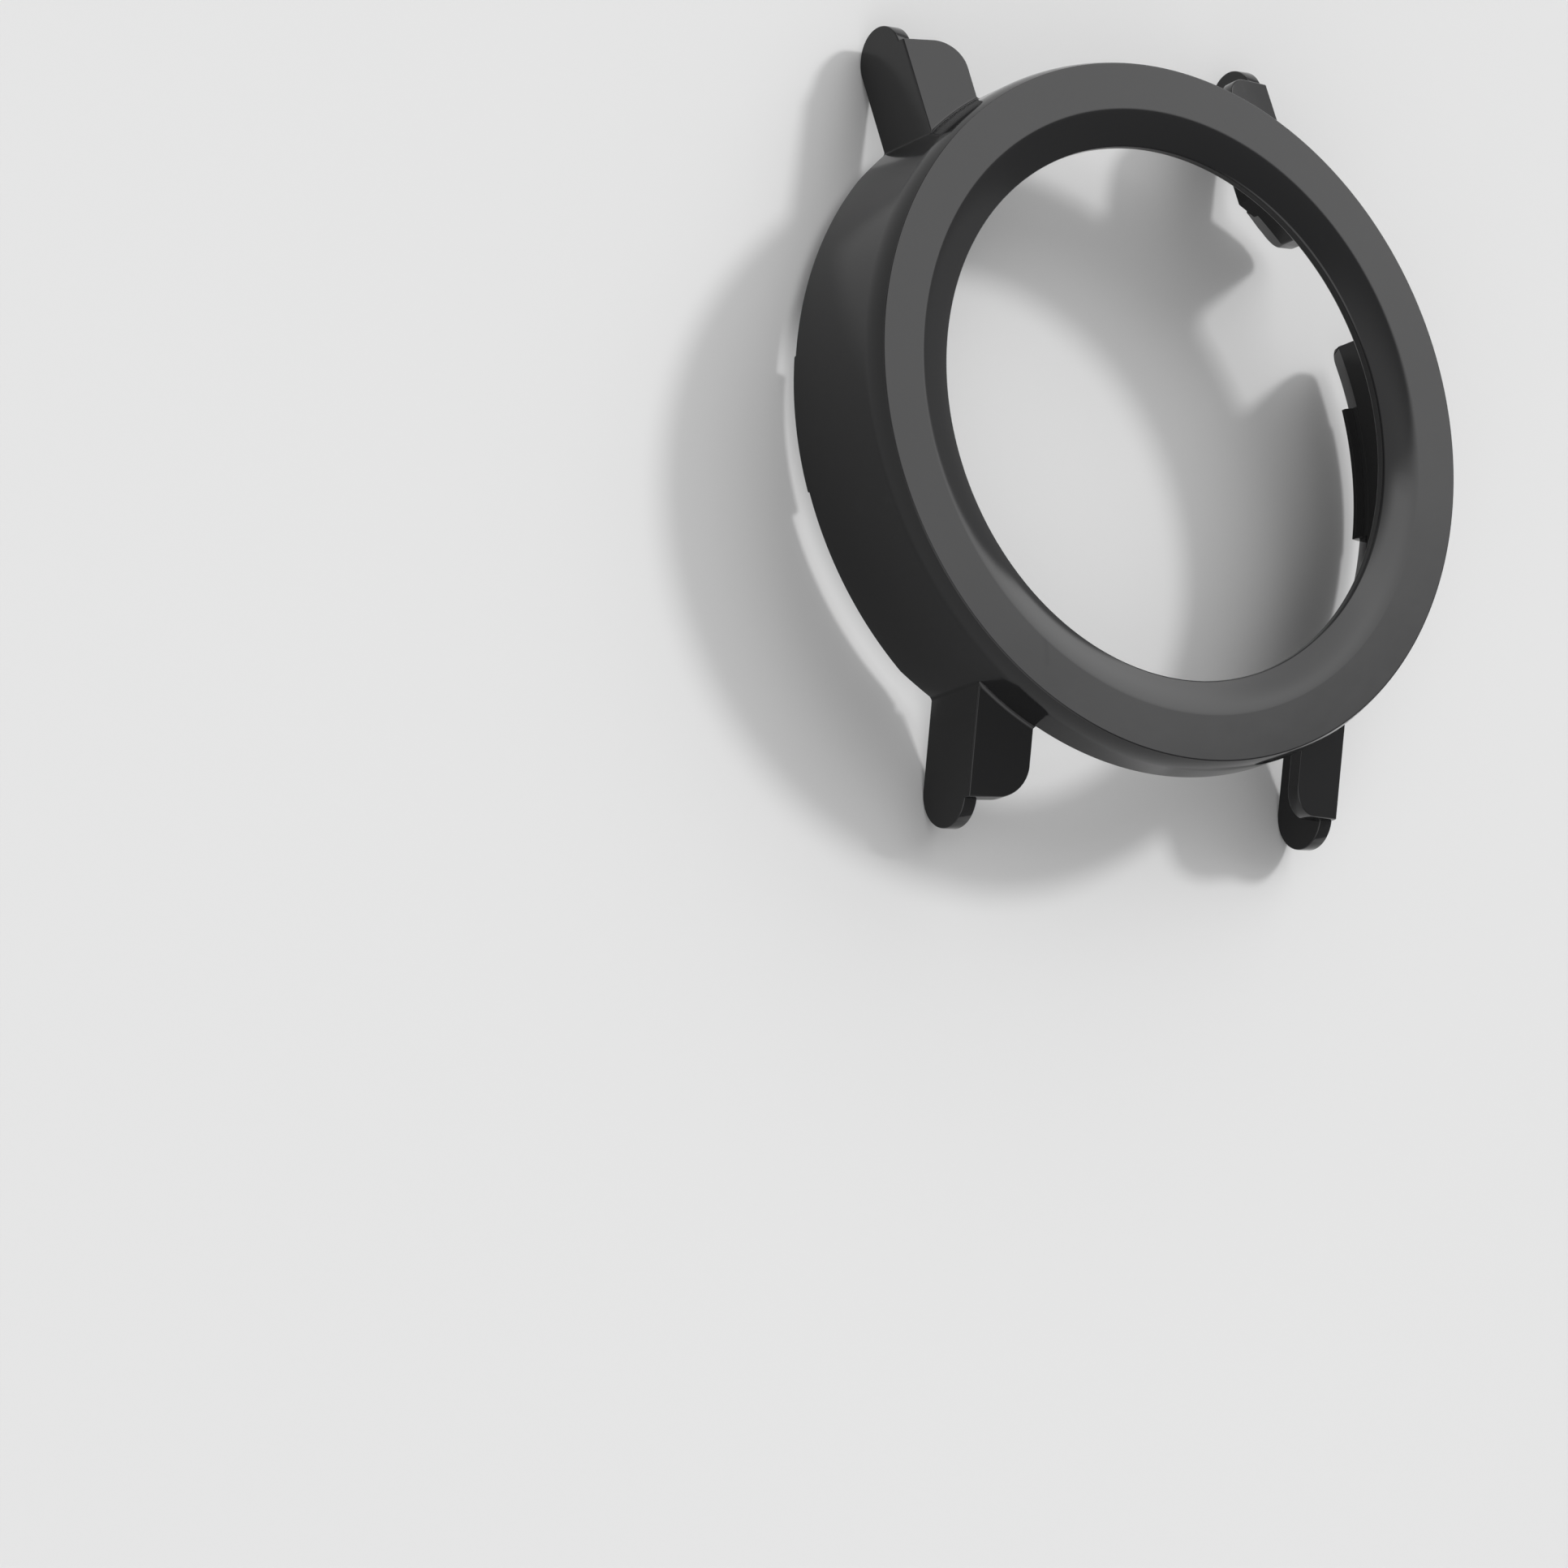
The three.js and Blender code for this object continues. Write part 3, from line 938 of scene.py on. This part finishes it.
print("Node group", hairlines.name)

# %% [markdown]
# ### Haze
# Where hands have been, the polish is a little duller, with soft borders. One noise spread
# between two roughness values does it.

# %% A group for the haze of handling
haze, haze_in, haze_out = new_group("handling_haze", [("Polished", 0.12), ("Dull", 0.2)], ["Roughness"])
cloud = noise(haze, 90, 4)
spread = haze.nodes.new("ShaderNodeMapRange")
spread.inputs["From Min"].default_value = 0.35
spread.inputs["From Max"].default_value = 0.7
haze.links.new(cloud, spread.inputs["Value"])
haze.links.new(haze_in.outputs["Polished"], spread.inputs["To Min"])
haze.links.new(haze_in.outputs["Dull"], spread.inputs["To Max"])
haze.links.new(spread.outputs["Result"], haze_out.inputs["Roughness"])
print("Node group", haze.name)

# %% [markdown]
# ## Two finishes of one plastic
# What faces forwards, which is the ring's band and dish and the guards' plates, comes from a
# mirror-polished half of the mould. What faces sideways was pulled out of the mould along its
# walls, so it has faint upright drag marks and is a little duller. Its finish also has a darker
# black and mirrors less, which is painted shade that darkens every face that faces sideways. One
# material could blend between them by the normal, but two plain ones stay easy to read, and each
# face takes the one that its direction asks for.

# %% Build the two finishes
SCRATCH_TINT, SCRATCH_ROUGHNESS, SCRATCH_DEPTH = 1.9, 0.12, 0.1
BUMP_DEPTH = 2e-6


def gloss_black(name, level, black, polished, dull, hairs, drag):
    """The plastic, by its mirror level, colour, roughness range, hairlines and drag marks."""
    material = bpy.data.materials.new(name)
    material.use_nodes = True
    tree = material.node_tree
    nodes, links = tree.nodes, tree.links
    shader = nodes["Principled BSDF"]
    shader.inputs["IOR"].default_value = 1.5
    shader.inputs["Specular IOR Level"].default_value = level

    def effect(group):
        node = nodes.new("ShaderNodeGroup")
        node.node_tree = group
        return node

    wave, hair, dulled = effect(waviness), effect(hairlines), effect(haze)
    wave.inputs["Amount"].default_value = 1
    hair.inputs["Density"].default_value = hairs
    dulled.inputs["Polished"].default_value = polished
    dulled.inputs["Dull"].default_value = dull
    scuffed = calculate(tree, "MULTIPLY", hair.outputs["Mask"], SCRATCH_ROUGHNESS)
    links.new(calculate(tree, "ADD", dulled.outputs["Roughness"], scuffed), shader.inputs["Roughness"])
    tint = nodes.new("ShaderNodeMix")
    tint.data_type = "RGBA"
    tint.inputs["A"].default_value = (*black, 1)
    tint.inputs["B"].default_value = (*(v * SCRATCH_TINT for v in black), 1)
    links.new(hair.outputs["Mask"], tint.inputs["Factor"])
    links.new(tint.outputs["Result"], shader.inputs["Base Color"])
    scratched = calculate(tree, "MULTIPLY", hair.outputs["Mask"], SCRATCH_DEPTH)
    height = calculate(tree, "SUBTRACT", wave.outputs["Height"], scratched)
    if drag:
        marks = noise(tree, 1, 2, ((0, 0, 0), (2400, 2400, 60)))
        height = calculate(tree, "ADD", height, calculate(tree, "MULTIPLY", marks, drag))
    bump = nodes.new("ShaderNodeBump")
    bump.inputs["Strength"].default_value = 1
    bump.inputs["Distance"].default_value = BUMP_DEPTH
    links.new(height, bump.inputs["Height"])
    links.new(bump.outputs["Normal"], shader.inputs["Normal"])
    return material


show_finish = gloss_black("gloss_black_show_face", level=0.5, black=(0.0115, 0.0115, 0.012),
                          polished=0.07, dull=0.11, hairs=0.4, drag=0)
# The skirt's finish: a darker black and a lower mirror level than the show face, which is painted shade
# on the faces that face sideways; its drag marks and duller roughness are its real finish.
skirt_finish_painted_shade = gloss_black("gloss_black_skirt_painted_shade", level=0.35, black=(0.009, 0.009, 0.0094),
                           polished=0.1, dull=0.14, hairs=0.3, drag=0.1)
print("Finishes:", show_finish.name, skirt_finish_painted_shade.name)

# %% [markdown]
# ### A finish for each face
# A face that points forwards by more than a set share takes the polished finish, and every other
# face the skirt's, whose darker black and lower mirror level are painted shade. The packed solids,
# which stay hidden, get the skirt's too.

# %% Give each face its finish
FORWARD = 0.45

for piece in [o for o in bpy.data.objects if o.name.endswith("_dressed")]:
    piece.data.materials.clear()
    piece.data.materials.append(show_finish)
    piece.data.materials.append(skirt_finish_painted_shade)
    for face in piece.data.polygons:
        face.material_index = 0 if face.normal.z > FORWARD else 1
for node in frame["nodes"].values():
    node.data.materials.clear()
    node.data.materials.append(skirt_finish_painted_shade)
forward = sum(face.material_index == 0 for face in bezel.data.polygons)
print("The ring has", forward, "faces that face forwards")

# %% [markdown]
# ## The floor
# The case stands on a pale floor, which could be a plane under it or a curved sweep. The camera
# looks down so far that a plane fills the picture. It is rough and mirrors nothing, so it stays
# evenly pale and keeps the case's soft shadow.

# %% A pale floor
FLOOR_HALF_SIZE = 1.5

mesh = bmesh.new()
bmesh.ops.create_grid(mesh, x_segments=24, y_segments=24, size=FLOOR_HALF_SIZE)
floor = piece_from(mesh, "floor")
floor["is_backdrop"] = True
paper = bpy.data.materials.new("floor_paper")
paper.use_nodes = True
paper_shader = paper.node_tree.nodes["Principled BSDF"]
paper_shader.inputs["Roughness"].default_value = 0.9
paper_shader.inputs["Specular IOR Level"].default_value = 0
paper_shader.inputs["Base Color"].default_value = (0.73, 0.73, 0.73, 1)
floor.data.materials.append(paper)
print("Floor:", 2 * FLOOR_HALF_SIZE, "m wide")

# %% [markdown]
# ## Light to mirror
# Gloss black shows the studio rather than itself, so the light that it mirrors is drawn with
# care. Area lamps could do it, but the world's shader can place a soft panel by direction alone,
# which no object can hide. There is one large panel behind the case to the right, brightest at
# its near side, a low glow beside it, a weak glow overhead and another from behind the camera.
# A panel's straight edge is a great circle of directions, which is where a plane through the
# case cuts the sky. So each edge is one soft step along the normal of such a plane, and the
# panel is the product of its four steps.

# %% Directions and soft edges
world = bpy.data.worlds.new("studio")
bpy.context.scene.world = world
world.use_nodes = True
tree = world.node_tree
tree.nodes.clear()
direction = tree.nodes.new("ShaderNodeTexCoord").outputs["Generated"]


def aimed(azimuth, elevation):
    """The direction at an azimuth from +X and an elevation over the floor, in degrees."""
    a, e = math.radians(azimuth), math.radians(elevation)
    return math.cos(a) * math.cos(e), math.sin(a) * math.cos(e), math.sin(e)


def soft_edge(axis, start, stop):
    """0 where the direction points less than start along an axis, 1 past stop, smooth between."""
    reach = tree.nodes.new("ShaderNodeVectorMath")
    reach.operation = "DOT_PRODUCT"
    tree.links.new(direction, reach.inputs[0])
    reach.inputs[1].default_value = axis
    ramp = tree.nodes.new("ShaderNodeMapRange")
    ramp.interpolation_type = "SMOOTHSTEP"
    ramp.inputs["From Min"].default_value = start
    ramp.inputs["From Max"].default_value = stop
    tree.links.new(reach.outputs["Value"], ramp.inputs["Value"])
    return ramp.outputs["Result"]


def product(*values):
    """Several factors multiplied."""
    result = values[0]
    for value in values[1:]:
        result = calculate(tree, "MULTIPLY", result, value)
    return result


# %% The panel and the glows
UP = (0, 0, 1)
BASE_LEVEL, PANEL_LEVEL = 0.3, 1.98

near_side = soft_edge((-0.4975, 0.8415, 0.2113), -0.014, 0.024)
top_side = soft_edge((0.154, 0.936, -0.319), -0.03, 0.05)
low_side = soft_edge(UP, 0.19, 0.28)
far_side = soft_edge((0.999, -0.035, 0), -0.1, 0.1)
panel = product(near_side, top_side, low_side, far_side)
hot_spot = product(soft_edge(aimed(32, 33), 0.951, 0.9976), 0.4)
dim_spot = product(soft_edge(aimed(64, 40), 0.95, 0.995), -0.4)
panel_level = calculate(tree, "ADD", PANEL_LEVEL, calculate(tree, "ADD", hot_spot, dim_spot))
low_glow = product(
    soft_edge((0.346, 0.801, -0.488), -0.03, 0.13),
    calculate(tree, "ADD", 0.22, product(soft_edge(UP, 0.2, 0.6), 0.15)))
overhead = product(soft_edge((-0.7, 0.7, 0), -0.25, 0.1), soft_edge(UP, 0.6, 0.9), 0.6)
behind_camera = product(soft_edge(aimed(240, 35), 0.75, 0.95), 1.4)
darker_side = product(soft_edge(aimed(140, 30), 0.5, 0.9), -0.13)

light = calculate(tree, "ADD", BASE_LEVEL, product(panel, panel_level))
for glow in (low_glow, overhead, behind_camera, darker_side):
    light = calculate(tree, "ADD", light, glow)
background = tree.nodes.new("ShaderNodeBackground")
tree.links.new(light, background.inputs["Strength"])
surface = tree.nodes.new("ShaderNodeOutputWorld")
tree.links.new(background.outputs[0], surface.inputs["Surface"])
print("Studio world:", len(tree.nodes), "nodes")

# %% [markdown]
# ## Light for the floor
# The world alone leaves the floor too grey, and a brighter world would change the reflections.
# A soft sun that gloss surfaces don't mirror lights the floor by itself.

# %% A soft sun
SUN_FROM = aimed(34, 40)

sun_data = bpy.data.lights.new("floor_light", "SUN")
sun_data.energy = 1.4
sun_data.angle = math.radians(8)
sun = bpy.data.objects.new("floor_light", sun_data)
bpy.context.scene.collection.objects.link(sun)
sun.rotation_mode = "QUATERNION"
sun.rotation_quaternion = Vector(SUN_FROM).to_track_quat("Z", "Y")
sun.visible_glossy = False
print("Sun from", [round(v, 2) for v in SUN_FROM])

# %% [markdown]
# ## The camera
# Its place, aim, roll and lens were fitted to the ring's two edges and the guards' corners, so
# that the case stands in the picture as it does in the photograph.

# %% The camera
CAMERA_PLACE = at(-334.04, -130.63, -409.99)
CAMERA_AIM = at(-33.83, -26.64, 0)
CAMERA_ROLL = math.radians(69.97)

camera_data = bpy.data.cameras.new("camera")
camera_data.sensor_width = 36
camera_data.lens = 192.6
camera_data.clip_end = 10
camera = bpy.data.objects.new("camera", camera_data)
bpy.context.scene.collection.objects.link(camera)
bpy.context.scene.camera = camera
camera.location = CAMERA_PLACE
look = (CAMERA_AIM - CAMERA_PLACE).to_track_quat("-Z", "Y")
camera.rotation_mode = "QUATERNION"
camera.rotation_quaternion = look @ Quaternion((0, 0, 1), CAMERA_ROLL)
print("Camera", round((CAMERA_AIM - CAMERA_PLACE).length / MM), "mm from its aim")

# %% [markdown]
# ## Last words
# The standard view keeps colours as they are written. The imported case's box is printed at the
# start, and the dressed case's box here.

# %% Sizes and finish
bpy.context.scene.view_settings.view_transform = "Standard"
low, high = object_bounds()
print("Visual box in mm:", [round(v / MM, 2) for v in (*low, *high)])
